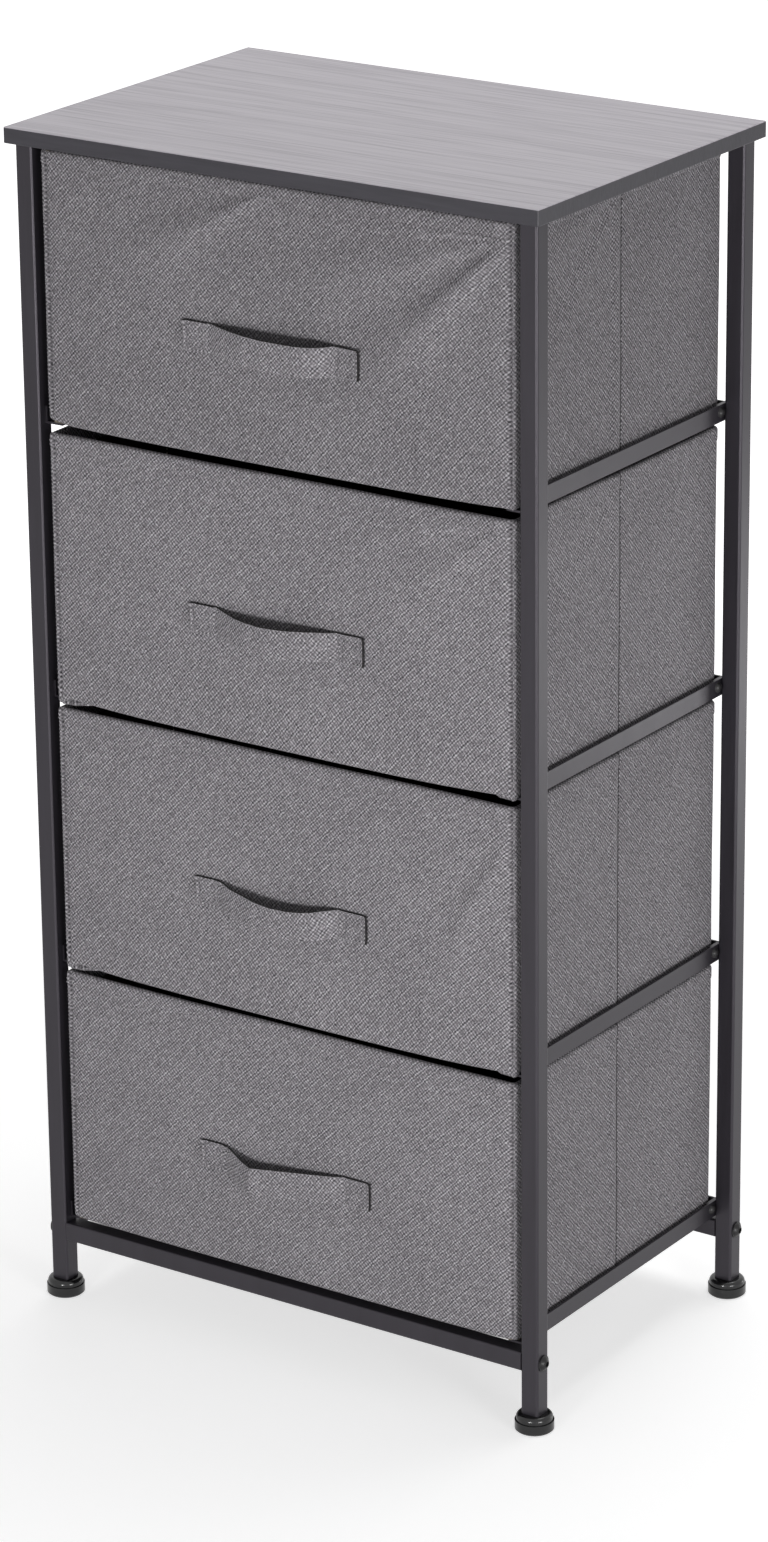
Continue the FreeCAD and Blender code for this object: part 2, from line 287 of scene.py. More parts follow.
steelLook = {
    "colour": (27, 25, 29),
    "dusty": (34, 32, 37),
    "reflection": (0.96, 0.90, 1.0, 1),
    "roughness": (0.34, 0.44),
    "peel": 1.1 * mm,            # waves of the powder coat
    "grain": 0.35 * mm,
    "streaks": 9 * mm,
    "relief": 0.03 * mm,
}


def makeSteel(name, look):
    # black powder coat: a faint orange peel and a slow change of gloss
    material, tree, shader = newMaterial(name, {
        "Specular IOR Level": 0.5, "Specular Tint": look["reflection"]})
    place = addNode(tree, "TexCoord").outputs["Object"]
    peel = noiseOn(tree, place, look["peel"], detail=1)
    grain = noiseOn(tree, place, look["grain"], detail=1)
    streaks = noiseOn(tree, place, look["streaks"], (1, 1, 14), 0, 3, 0.6)
    paint(tree, shader, streaks, [(0.35, look["colour"]), (0.75, look["dusty"])])
    roughen(tree, shader, streaks, *look["roughness"])
    raiseBumps(tree, shader, calculate(tree, "MULTIPLY_ADD", grain, 0.3, peel), look["relief"], 0.6)
    return material


boardLook = {
    "light": (198, 193, 200),
    "dark": (164, 159, 167),
    "edge": (38, 36, 43),
    "edgeLight": (50, 48, 55),
    "grainLength": 90 * mm,
    "grainWidth": 1.1 * mm,
    "veins": 5 * mm,             # width of the darker bands between the pores
    "sway": 14 * mm,             # how far the grain bends aside
    "swaySize": 120 * mm,
    "topStart": 911.35 * mm,     # above this height the sheet on top begins
    "relief": 0.05 * mm,
}


def makeBoard(name, look):
    # printed wood grain on top, charcoal edge band round it
    material, tree, shader = newMaterial(name, {"Specular IOR Level": 0.5})
    place = addNode(tree, "TexCoord").outputs["Object"]
    height = addNode(tree, "SeparateXYZ", {"Vector": place}).outputs["Z"]
    sway = noiseOn(tree, place, look["swaySize"], (2.5, 1, 1), 0, 1)
    moved = addNode(tree, "CombineXYZ", {"Y": calculate(tree, "MULTIPLY", sway, look["sway"])}).outputs[0]
    bent = addNode(tree, "VectorMath", {0: place, 1: moved}, operation="ADD").outputs[0]
    drawnOut = look["grainLength"] / look["grainWidth"]
    pores = noiseOn(tree, bent, look["grainWidth"], (drawnOut, 1, 4), 0, 3, 0.6)
    veins = noiseOn(tree, bent, look["veins"], (34, 1, 4), 0, 3, 0.55)
    tone = calculate(tree, "MULTIPLY_ADD", calculate(tree, "SUBTRACT", pores, 0.5), 1.5, 0.5)
    tone = calculate(tree, "MULTIPLY_ADD", calculate(tree, "SUBTRACT", veins, 0.5), 0.9, tone)
    top = rampOn(tree, tone, [(0.1, look["dark"]), (0.6, look["light"])])
    edge = rampOn(tree, pores, [(0.3, look["edge"]), (0.7, look["edgeLight"])])
    onTop = addNode(tree, "MapRange", {
        "Value": height, "From Min": look["topStart"] - 0.1 * mm, "From Max": look["topStart"] + 0.1 * mm})
    tint = addNode(tree, "Mix", {0: onTop.outputs["Result"], 6: edge, 7: top}, data_type="RGBA")
    tree.links.new(tint.outputs[2], shader.inputs["Base Color"])
    roughen(tree, shader, tone, 0.5, 0.4)
    raiseBumps(tree, shader, tone, look["relief"], 0.4)
    return material


def makePlastic(name, tint, roughness, relief):
    # moulded plastic with a fine skin and a little dust
    material, tree, shader = newMaterial(name, {"Specular IOR Level": 0.5})
    place = addNode(tree, "TexCoord").outputs["Object"]
    dust = noiseOn(tree, place, 6 * mm, detail=5)
    skin = noiseOn(tree, place, 0.5 * mm, detail=1)
    base = np.array(tint)
    paint(tree, shader, dust, [(0.45, base), (0.85, base + 16)])
    roughen(tree, shader, dust, roughness, roughness + 0.12)
    raiseBumps(tree, shader, skin, relief, 0.4)
    return material


def makeFastener(name, tint, roughness, metallic):
    # turned steel with a thin finish, worn a little
    material, tree, shader = newMaterial(name, {"Metallic": metallic})
    place = addNode(tree, "TexCoord").outputs["Object"]
    wear = noiseOn(tree, place, 1.5 * mm, detail=4)
    base = np.array(tint)
    paint(tree, shader, wear, [(0.4, base), (0.8, base * 1.35)])
    roughen(tree, shader, wear, roughness, roughness + 0.15)
    raiseBumps(tree, shader, wear, 0.02 * mm, 0.5)
    return material


def makePaperboard(name, tint):
    # grey board with long fibres
    material, tree, shader = newMaterial(name, {"Roughness": 0.95, "Specular IOR Level": 0.2})
    place = addNode(tree, "TexCoord").outputs["Object"]
    fibres = noiseOn(tree, place, 1.5 * mm, (4, 4, 1), 0, 4, 0.7)
    base = np.array(tint)
    paint(tree, shader, fibres, [(0.3, base * 0.85), (0.7, base)])
    raiseBumps(tree, shader, fibres, 0.1 * mm, 0.4)
    return material


cloths = {}
# the top drawer gets a darker copy of the cloth: painted shade under the board
for tier, shade in clothLook["tones"].items():
    cloths[tier] = makeCloth(f"grey twill {tier}", clothLook, shade)
strapCloth = makeCloth("grey twill of the straps", clothLook, clothLook["straps"])
# a darker copy of the cloth: painted shade for the folds of the side walls
foldShadeCloth = makeCloth("grey twill in the folds", clothLook, clothLook["folds"])
lining = makeLining("black felt", liningLook)
# near-black felt for the straps' top edges and ends: painted shade
edgeShadeFelt = makeLining("strap edge painted shade", dict(liningLook, colour=(20, 18, 19), worn=(30, 28, 28)))
greyThread = makeThread("grey thread", threadLook["grey"], threadLook["twist"])
hemThread = makeThread("hem thread", threadLook["hem"], threadLook["twist"])
whiteThread = makeThread("white thread", threadLook["white"], threadLook["twist"])
finishes = {
    "board_laminate": makeBoard("grey wood print", boardLook),
    "frame_steel": makeSteel("black powder coat", steelLook),
    "foot_plastic": makePlastic("black glossy plastic", (12, 12, 13), 0.14, 0.02 * mm),
    "bolt_steel": makeFastener("blackened bolt", (30, 29, 30), 0.3, 0.4),
    "screw_steel": makeFastener("bright screw", (150, 148, 146), 0.3, 1.0),
    "insert_plastic": makePlastic("black matte plastic", (24, 24, 25), 0.5, 0.04 * mm),
    "stiffener_board": makePaperboard("grey board", (120, 112, 100)),
    "panel_fabric": lining,
    "cover_fabric": cloths[1],
    "lining_fabric": lining,
}
for node in nodes.values():
    for holder in node.material_slots:
        holder.material = finishes[holder.material.name.split(".")[0]]
print("materials made,", len(finishes))


drawer = {
    "frontCorner": 3.0 * mm,     # roundings of the upright corners
    "backCorner": 5.5 * mm,
    "topRound": 2.5 * mm,        # half the thickness of a hemmed wall
    "bottomRound": 3.2 * mm,
    "hemHeight": 17 * mm,        # how far the hem reaches down inside
    "hemLine": 11 * mm,          # seam under the top edge
    "seamInset": 3.8 * mm,       # groove beside the front corners
    "seamDepth": 2.6 * mm,
    "seamWidth": 1.2 * mm,
    "seamStart": (3 * mm, 8 * mm),           # heights over which the groove begins
    "foldPlace": -4.0 * mm,      # where the side walls fold, from front to back
    "foldShadeWidth": 1.2 * mm,       # of the cloth darkened as painted shade on each side of the fold
    "clothThickness": 0.8 * mm,
    "spacing": 4.0 * mm,         # of the mesh
    "fineSpacing": 0.45 * mm,    # of the mesh near the seams and folds
    "underReach": 12 * mm,       # from the lower edge in to where the bottom's rings begin
    "bottomRings": 9,
}

# what the cloth does on every drawer
hang = {
    # powers of the half sines that the pillows follow, up every wall and along the side walls
    "bowFullness": 0.7,
    "sideFullness": 0.6,
    "pillowEnd": (184 * mm, 197.5 * mm),     # where the front's pillow runs out, near its right edge
    "backPillow": 0.8 * mm,
    "sidePillow": 0.3 * mm,
    "sideHalf": 137 * mm,        # from the fold to the ends of a side wall
    "waves": 7,
    "waveHeight": 0.11 * mm,
    # radians a metre along the wall and up it, and where the waves start: drawn between these
    "waveAlong": (-26, 26),
    "waveUp": (8, 34),
    "waveStart": (0, 6.28),
    "waveBack": 1.7,             # how much faster they run from front to back
    "pullStart": 60 * mm,        # where a pull has grown to half its rise
    "deepest": -0.15 * mm,       # the stiff boards let the cloth in no further
    "railMiddle": 8 * mm,        # height of the strip that a rail presses flat
    "railReach": (8 * mm, 20 * mm),          # from its middle, where it begins to fade and ends
    "railPress": 0.6,            # share of the relief that it takes
    "ridgeStart": -15 * mm,      # a ridge in front of the fold, from the fold
    "ridgeTop": -7 * mm,
    "ridgeHeight": 1.7 * mm,
    "creaseDepth": 0.6 * mm,     # groove at the fold
    "creaseHalf": 1.0 * mm,
    "sideLimit": 1.9 * mm,       # keeps the side walls clear of the rails and their bolts
    "hemDip": 0.35 * mm,         # the hem's seam, and the step to the double cloth over it
    "hemDipWidth": 0.8 * mm,
    "hemStep": 0.5 * mm,
    "hemStepPlace": (-0.3 * mm, 1.2 * mm),   # over the seam
    "reliefStart": 9 * mm,       # height at which the relief is full
    "reliefDepth": (0.3 * mm, 3 * mm),       # behind the face, where it fades and ends
    "sagHeight": 45 * mm,        # up to here the lower edge's sag is felt
    "sagHalf": 192 * mm,         # half the width over which it sags
    "sagFade": 12 * mm,
    "sagElsewhere": 0.7,         # share of the sag on the sides and the back
    "sagMiddle": 0.6,            # share of it by which the middle of the bottom sags further
    "cornerWidth": 9 * mm,       # how far a lifted or a dropped corner reaches
    "cornerHeight": 14 * mm,
    "cornerDepth": (2 * mm, 10 * mm),        # behind the front, where a lift fades and ends
    "topBand": 12 * mm,          # under the top edge, where its unevenness is felt
    "unevenness": 0.5 * mm,
    "unevenWaves": (31, 23),     # radians a metre, from left to right and from front to back
}

# how the cloth of each drawer hangs; lift and drop are of the lower and the upper edge at the left and
# the right front corner; the pulls are ridges that fan out from a point: the wall, the point along it and
# over the drawer's bottom, an angle and a spread in degrees, a rise and a reach; their lengths are in
# millimetres
drawerShapes = {
    4: {"seed": 41, "pillow": 1.6 * mm, "sag": 2.0 * mm, "lift": (2.5 * mm, 0), "drop": (1.0 * mm, 0.5 * mm),
        "pulls": [
            ("front", 199, 191, -136, 8, 11.0, 150),
            ("front", 199, 191, -163, 7, 6.5, 170),
            ("front", 199, 191, -177, 4, 3.0, 120),
            ("front", 199, 191, -140, 6, 6.0, 60),
            ("front", 0, 197, -153, 9, 10.0, 120),
            ("front", -198, 192, -60, 9, 2.0, 130),
            ("side", -4, 200, -133, 6, 8.0, 120),
            ("side", -4, 200, -163, 6, 6.0, 90),
            ("side", -60, 200, -128, 9, 4.0, 100)]},
    3: {"seed": 32, "pillow": 1.3 * mm, "sag": 3.8 * mm, "lift": (-4.6 * mm, -2.6 * mm), "drop": (0, 0),
        "pulls": [
            ("front", 198, 199, -146, 9, 6.0, 120),
            ("front", 198, 199, -170, 7, 3.0, 120),
            ("front", -198, 192, -35, 9, 1.8, 100),
            ("side", -4, 192, -140, 7, 6.0, 100),
            ("side", -4, 192, -165, 5, 2.6, 80)]},
    2: {"seed": 23, "pillow": 1.4 * mm, "sag": 3.8 * mm, "lift": (-4.6 * mm, -2.4 * mm), "drop": (0, 0),
        "pulls": [
            ("front", 198, 184, -118, 8, 9.0, 110),
            ("front", 198, 184, -150, 8, 2.6, 120),
            ("side", -4, 165, -140, 8, 4.5, 90),
            ("side", -50, 200, -130, 8, 3.5, 90)]},
    1: {"seed": 14, "pillow": 1.1 * mm, "sag": 1.0 * mm, "lift": (1.0 * mm, 1.2 * mm), "drop": (0, 0),
        "pulls": [
            ("front", 198, 190, -142, 10, 2.0, 90),
            ("front", -198, 20, 40, 10, 1.6, 100),
            ("side", -4, 190, -135, 9, 1.4, 80)]},
}

drawerLow, drawerHigh = (np.array(corner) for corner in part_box("drawer_1_cover"))
drawerFront, drawerBack, drawerHalf = drawerLow[1], drawerHigh[1], drawerHigh[0]
wallHeight = drawerHigh[2] - drawerLow[2]
cornerPoints = 17                # on the rounding of each corner of a plan


def bottomOf(tier):
    # height of a drawer's underside over the floor
    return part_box(f"drawer_{tier}_cover")[0][2]


def planOutline(halfWidth, front, back, frontCorner, backCorner):
    # a rounded rectangle, walked clockwise from the middle of its back, with a quarter circle at each
    # corner; each row holds the length walked, x, y and the outward direction
    atBack, atFront = (back, backCorner), (front, frontCorner)
    corners = [(1, *atBack), (1, *atFront), (-1, *atFront), (-1, *atBack)]
    start = [0, back, 0, 1]
    rows = [start]
    for number, (side, end, radius) in enumerate(corners):
        turn = np.radians(90 - 90 * number - np.linspace(0, 90, cornerPoints))
        outX, outY = np.cos(turn), np.sin(turn)
        middleX = side * (halfWidth - radius)
        middleY = end - radius if end == back else end + radius
        rows += np.stack([middleX + radius * outX, middleY + radius * outY, outX, outY], 1).tolist()
    rows = np.array(rows + [start])
    return np.column_stack([runLength(rows[:, :2]), rows])


drawerPlan = planOutline(drawerHalf, drawerFront, drawerBack, drawer["frontCorner"], drawer["backCorner"])
planLength = drawerPlan[-1, 0]


def onPlan(plan, walked):
    # x, y and the outward direction at a length walked
    return [np.interp(walked, plan[:, 0], plan[:, column]) for column in (1, 2, 3, 4)]


def seamPlaces():
    # where the grooves beside the right and the left front corner lie, in length walked
    right = drawerPlan[2 * cornerPoints, 0] + drawer["seamInset"] - drawer["frontCorner"]
    return right, planLength - right


def foldPlaces():
    # where the right and the left side wall fold, in length walked
    right = drawerPlan[cornerPoints, 0] + drawerBack - drawer["backCorner"] - drawer["foldPlace"]
    return right, planLength - right


def stationsOn(plan, spacing, cornerStep, fine=(), fineSpacing=0.0):
    # even stations, every few of the corners' own points, and close ones round each place in fine,
    # without those that nearly meet
    reach, nearest = 4 * mm, 0.3 * mm
    stations = [np.arange(0, plan[-1, 0], spacing), plan[1:-1:cornerStep, 0]]
    stations += [np.arange(place - reach, place + reach, fineSpacing) for place in fine]
    stations = np.sort(np.concatenate(stations))
    return stations[np.concatenate([[True], np.diff(stations) > nearest])]


def arc(depth, height, radius, start, end, count):
    # points of a profile's rounding, from one angle to another
    turn = np.radians(np.linspace(start, end, count))
    return np.stack([depth + radius * np.cos(turn), height + radius * np.sin(turn)], 1)


def wallProfile():
    # from the hem's lower edge inside, over the top, down the wall and under the bottom:
    # each point is a depth behind the wall's face and a height over the drawer's bottom, and the
    # points lie closer round the hem's seam
    top, bottom, inner = drawer["topRound"], drawer["bottomRound"], 2 * drawer["topRound"]
    hem, nearHem, apart = wallHeight - drawer["hemLine"], 4.5 * mm, 0.5 * mm
    inside = np.linspace([inner, wallHeight - drawer["hemHeight"]], [inner, wallHeight - top], 6)[:-1]
    overTop = arc(top, wallHeight - top, top, 0, 180, 9)
    rows = int(wallHeight / drawer["spacing"]) + 2
    wall = np.linspace([0, wallHeight - top], [0, bottom], rows)[1:-1]
    wall = wall[np.abs(wall[:, 1] - hem) > nearHem + apart]
    close = np.linspace([0, hem + nearHem], [0, hem - nearHem], 14)
    wall = np.vstack([wall, close])
    wall = wall[np.argsort(-wall[:, 1])]
    underEdge = arc(bottom, bottom, bottom, 180, 270, 7)
    under = np.linspace([bottom, 0], [bottom + drawer["underReach"], 0], 4)[1:]
    return np.vstack([inside, overTop, wall, underEdge, under])


def facing(part):
    # how much a place belongs to a wall: 1 on the wall, fading out round the corner
    return smoothStep(part, 0.3, 0.95)


def pullRelief(along, height, atAlong, atHeight, direction, spread, rise, reach):
    # a ridge that fans out from a point: a bell over the angle off its line, growing with the
    # distance at first and dying out as a bell over it
    acrossPull, upPull = along - atAlong * mm, height - atHeight * mm
    distance = np.hypot(acrossPull, upPull)
    angle = np.degrees(np.arctan2(upPull, acrossPull))
    offLine = (angle - direction + 180) % 360 - 180
    growth = distance / (distance + hang["pullStart"])
    return rise * mm * bell(offLine, 0, spread) * growth * bell(distance, 0, reach * mm)


def wallRelief(x, y, outX, outY, height, shape):
    # how far the cloth stands off the flat wall: a soft pillow on each face, slow waves, the pulls, a
    # flatter strip at the rails, the seam grooves beside the front corners, the ridge and the crease
    # of the fold in the side walls, and the step and the seam of the hem
    onFront, onBack, onSide = facing(-outY), facing(outY), facing(np.abs(outX))
    bow = np.sin(np.pi * np.clip(height / wallHeight, 0, 1)) ** hang["bowFullness"]
    frontSpan = np.clip(1 - (np.minimum(x, 0) / drawerHalf) ** 4, 0, 1)
    frontSpan = frontSpan * (1 - smoothStep(x, *hang["pillowEnd"]))
    backSpan = np.clip(1 - (x / drawerHalf) ** 4, 0, 1)
    fromFold = y - drawer["foldPlace"]
    sideSpan = np.sin(np.pi * np.clip(np.abs(fromFold) / hang["sideHalf"], 0, 1)) ** hang["sideFullness"]
    relief = bow * (shape["pillow"] * onFront * frontSpan + hang["backPillow"] * onBack * backSpan
                    + hang["sidePillow"] * onSide * sideSpan)
    generator = np.random.default_rng(shape["seed"])
    for number in range(hang["waves"]):
        lengthwise = generator.uniform(*hang["waveAlong"])
        upwards = generator.uniform(*hang["waveUp"])
        start = generator.uniform(*hang["waveStart"])
        wave = np.sin(lengthwise * (x + hang["waveBack"] * y) + upwards * height + start)
        relief = relief + hang["waveHeight"] * bow * wave
    for wall, *pull in shape["pulls"]:
        along, share = (x, onFront) if wall == "front" else (y, onSide)
        relief = relief + share * pullRelief(along, height, *pull)
    nearRail = 1 - smoothStep(np.abs(height - hang["railMiddle"]), *hang["railReach"])
    relief = np.maximum(relief, hang["deepest"]) * (1 - hang["railPress"] * onSide * nearRail)
    besideSeam = np.abs(x) - (drawerHalf - drawer["seamInset"])
    groove = bell(besideSeam, 0, drawer["seamWidth"]) * onFront * smoothStep(height, *drawer["seamStart"])
    relief = relief * (1 - groove) - drawer["seamDepth"] * groove
    ridge = smoothStep(fromFold, hang["ridgeStart"], hang["ridgeTop"])
    ridge = ridge * (1 - smoothStep(fromFold, hang["ridgeTop"], 0))
    crease = np.exp(-(fromFold / hang["creaseHalf"]) ** 4)
    relief = relief + (hang["ridgeHeight"] * ridge - hang["creaseDepth"] * crease) * onSide
    limited = np.minimum(relief, hang["sideLimit"] * np.tanh(relief / hang["sideLimit"]))
    relief = np.where(onSide > 0, limited, relief)
    overSeam = height - (wallHeight - drawer["hemLine"])
    step = hang["hemStep"] * smoothStep(overSeam, *hang["hemStepPlace"])
    return relief + step - hang["hemDip"] * bell(overSeam, 0, hang["hemDipWidth"])


def coverPoint(tier, walked, depth, height):
    # a point of the cover, walked round the plan, at a depth behind the face and a height over the
    # bottom; the relief moves it outwards, and the sag of the lower edge, the lifted or dropped
    # corners and the uneven top edge move it up or down
    shape = drawerShapes[tier]
    x, y, outX, outY = onPlan(drawerPlan, walked)
    onFront = facing(-outY)
    onWall = smoothStep(height, 0, hang["reliefStart"]) * (1 - smoothStep(depth, *hang["reliefDepth"]))
    out = wallRelief(x, y, outX, outY, height, shape) * onWall - depth
    low = 1 - smoothStep(height, 0, hang["sagHeight"])
    span = np.clip(1 - (x / hang["sagHalf"]) ** 4, 0, 1)
    span = span * smoothStep(hang["sagHalf"] - np.abs(x), 0, hang["sagFade"])
    sag = shape["sag"] * low * span * (onFront + hang["sagElsewhere"] * (1 - onFront))
    corner = bell(np.abs(x), drawerHalf, hang["cornerWidth"])
    inFront = 1 - smoothStep(y - drawerFront, *hang["cornerDepth"])
    lift = np.where(x < 0, *shape["lift"]) * corner * bell(height, 0, hang["cornerHeight"]) * inFront
    upper = smoothStep(height, wallHeight - hang["topBand"], wallHeight)
    sideways, backwards = hang["unevenWaves"]
    uneven = hang["unevenness"] * (0.5 + 0.5 * np.sin(x * sideways + y * backwards + shape["seed"]))
    drop = np.where(x < 0, *shape["drop"]) * corner * onFront
    level = bottomOf(tier) + height - sag + lift - upper * (uneven + drop)
    return np.stack([x + outX * out, y + outY * out, level], -1)


def closedUnder(rim, rings, sagging):
    # rings that shrink from the rim to one point in the middle, and sag like a quarter wave
    centre = rim.mean(0)
    part = np.linspace(0, 1, rings + 1)[1:, None, None]
    points = rim + (centre - rim) * part
    points[..., 2] -= sagging * np.sin(part[..., 0] * np.pi / 2)
    return points


def clothUv(walked, profile, ringPoints, turned):
    # the cloth's own metres: along the wall and up it, and flat on the bottom; the side walls are
    # cut across the cloth, so that their ribs lean the other way
    walls = np.stack(np.broadcast_arrays(-walked[None, :], -runLength(profile)[:, None]), -1)
    walls = gridCorners(walls).reshape(len(profile) - 1, -1, 4, 2)
    walls[:, turned] = np.stack([walls[:, turned][..., 1], -walls[:, turned][..., 0]], -1)
    bottom = np.concatenate([ringPoints, ringPoints[:, :1]], 1)[..., :2]
    return np.vstack([walls.reshape(-1, 2), gridCorners(bottom)])


def makeCover(tier):
    # the profile of a hemmed wall, carried round the plan of the drawer, and closed underneath
    seams, folds = seamPlaces(), foldPlaces()
    walked = stationsOn(drawerPlan, drawer["spacing"], 2, [*seams, *folds], drawer["fineSpacing"])
    profile = wallProfile()
    wall = coverPoint(tier, walked[None, :], profile[:, :1], profile[:, 1:])
    rings = closedUnder(wall[-1], drawer["bottomRings"], drawerShapes[tier]["sag"] * hang["sagMiddle"])
    points = np.vstack([wall, rings])
    backRight = drawerPlan[1 + cornerPoints // 2, 0]
    onRight = (walked > backRight) & (walked < seams[0])
    onLeft = (walked > seams[1]) & (walked < planLength - backRight)
    uv = clothUv(np.append(walked, planLength), profile, np.vstack([wall[-1:], rings]), onRight | onLeft)
    # painted shade: the faces next to each fold get the darker fold cloth
    foldShadeFaces = np.zeros((len(points) - 1, len(walked)), bool)
    foldShadeFaces[:len(wall)] = np.abs(walked[:, None] - np.array(folds)).min(1) < drawer["foldShadeWidth"]
    cover = newPiece(f"drawer{tier}Cover", points, gridQuads(*points.shape[:2], wrap=True), cloths[tier],
                     f"drawer_{tier}", uv, merge=1e-6, second=(foldShadeCloth, foldShadeFaces))
    thicken(cover, drawer["clothThickness"])
    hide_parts(f"drawer_{tier}_cover")


bag = {
    "depth": 4.15 * mm,          # from the wall's outer face to the felt
    "top": 3 * mm,               # from the wall's top down to the felt
    "floor": 1.65 * mm,          # from the drawer's bottom up to the felt
    "bottomRound": 3 * mm,
    "spacing": 6 * mm,           # of the mesh
    "wallRows": 30,
    "underReach": 9 * mm,        # from the lower edge in to where the bottom's rings begin
    "bottomRings": 6,
    "slack": 0.9 * mm,           # how far the loose felt stands into the drawer
    "slackWaves": (38, 31, 19),  # radians a metre, from left to right, from front to back and up
    "thickness": 0.5 * mm,
    "held": 12 * mm,             # how near a seam the felt lies flat again
    "seams": (122 * mm, -4 * mm, -128 * mm),     # white stitching down the side walls
}


def makeLiningBag(tier):
    # the lining: felt on the inside of the walls and on the floor, a little loose in slow waves
    walked = stationsOn(drawerPlan, bag["spacing"], 2)
    top, low, rounding = wallHeight - bag["top"], bag["floor"], bag["bottomRound"]
    wall = np.linspace([bag["depth"], top], [bag["depth"], low + rounding], bag["wallRows"])
    foot = arc(bag["depth"] + rounding, low + rounding, rounding, 180, 270, 6)[1:]
    flat = np.linspace(foot[-1], foot[-1] + [bag["underReach"], 0], 3)[1:]
    profile = np.vstack([wall, foot, flat])
    x, y, outX, outY = onPlan(drawerPlan, walked[None, :])
    inwards, height = profile[:, :1], profile[:, 1:]
    sideways, backwards, up = bag["slackWaves"]
    wave = 0.5 + 0.5 * np.sin(sideways * x + backwards * y + up * height + drawerShapes[tier]["seed"])
    slack = bag["slack"] * wave * np.sin(np.pi * height / wallHeight)
    fromSeam = np.minimum(np.abs(y - drawer["foldPlace"]), np.abs(np.abs(y) - bag["seams"][0]))
    slack = slack * np.where(np.abs(outX) > 0.5, np.clip(fromSeam / bag["held"], 0, 1), 1)
    wallPoints = np.stack(np.broadcast_arrays(
        x - outX * (inwards + slack), y - outY * (inwards + slack), bottomOf(tier) + height), -1)
    rings = closedUnder(wallPoints[-1], bag["bottomRings"], 0)
    points = np.vstack([wallPoints, rings])
    ringPoints = np.vstack([wallPoints[-1:], rings])
    uv = clothUv(np.append(walked, planLength), profile, ringPoints, np.zeros(len(walked), bool))
    # it is seen from inside, so its faces are turned over
    felt = newPiece(f"drawer{tier}Lining", points, gridQuads(*points.shape[:2], wrap=True)[:, ::-1], lining,
                    f"drawer_{tier}", uv.reshape(-1, 4, 2)[:, ::-1], merge=1e-6)
    thicken(felt, bag["thickness"])
    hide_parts(f"drawer_{tier}_lining")


panel = {
    "inset": 5.6 * mm,           # from the drawer's outer faces
    "bottom": 1.8 * mm,
    "thickness": 2.9 * mm,
    "bow": 0.5 * mm,
    "bowWaves": (11, 17),        # radians a metre, from left to right and from front to back
    "corner": 4 * mm,
    "spacing": 12 * mm,          # of the mesh
    "flatRings": 13,             # on each of its two faces
    "rimRings": 7,
}


def makeFloorPanel(tier):
    # a board wrapped in felt: rings from its middle out to a half round rim and back underneath,
    # bowed in slow waves
    inset = panel["inset"]
    plan = planOutline(drawerHalf - inset, drawerFront + inset, drawerBack - inset,
                       panel["corner"], panel["corner"])
    x, y, outX, outY = onPlan(plan, stationsOn(plan, panel["spacing"], 4)[None, :])
    half = panel["thickness"] / 2
    flat, rim = panel["flatRings"], panel["rimRings"]
    shares = np.concatenate([np.linspace(0, 1, flat), np.ones(rim), np.linspace(1, 0, flat)])[:, None]
    turn = np.concatenate([np.full(flat, 90), np.linspace(90, -90, rim + 2)[1:-1], np.full(flat, -90)])
    turn = np.radians(turn)[:, None]
    middleY = (drawerFront + drawerBack) / 2
    flatX, flatY = x * shares, middleY + (y - middleY) * shares
    inwards = shares * half * (1 - np.cos(turn))
    sideways, backwards = panel["bowWaves"]
    bow = panel["bow"] * (1 + np.sin(flatX * sideways + tier) * np.sin(flatY * backwards + 2 * tier))
    level = bottomOf(tier) + panel["bottom"] + half * (1 + np.sin(turn)) + bow
    points = np.stack([flatX - outX * inwards, flatY - outY * inwards, level], -1)
    board = newPiece(f"drawer{tier}FloorPanel", points, gridQuads(*points.shape[:2], wrap=True), lining,
                     f"drawer_{tier}", merge=1e-6,
                     uv=gridCorners(np.concatenate([points, points[:, :1]], 1)[..., :2]))
    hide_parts(f"drawer_{tier}_floor_panel")


for tier in tiers:
    makeCover(tier)
    makeLiningBag(tier)
    makeFloorPanel(tier)
print("drawer covers, linings and floor panels made")


strap = {
    "halfLength": 75 * mm,
    "sewn": 21 * mm,             # length of each sewn end
    "width": 22.5 * mm,
    "thickness": 1.7 * mm,
    "sewnThickness": 1.9 * mm,   # the end is folded under
    "freeStart": (-1 * mm, 2 * mm),          # past a sewn end, where the double cloth thins out
    "clearance": 0.1 * mm,       # from the cover
    "deepest": -0.3 * mm,        # how far its creases may press into the cover
    "notch": 1.1 * mm,           # between the two layers of an end
    "notchSpread": 22,           # degrees round the edge
    "boxInset": 2.8 * mm,        # stitched box, from the edges of the end
    "pucker": 0.6 * mm,          # depth of the dips along its stitches
    "puckerWidth": 0.7 * mm,
    "rim": 0.9 * mm,             # how far the edges outside the box curl off the drawer
    "rimStart": 0.5 * mm,        # how far inside the box that begins
    "curl": 0.8 * mm,            # the free part is a little hollow behind
    "cap": 0.7 * mm,             # the ends are a little rounded, and narrower by the next factor
    "capShare": 0.985,
    "stations": 241,             # of the mesh along the strap
    "faceColumns": 19,           # of the mesh across it
    "edgeColumns": 7,            # of the mesh round each edge
}

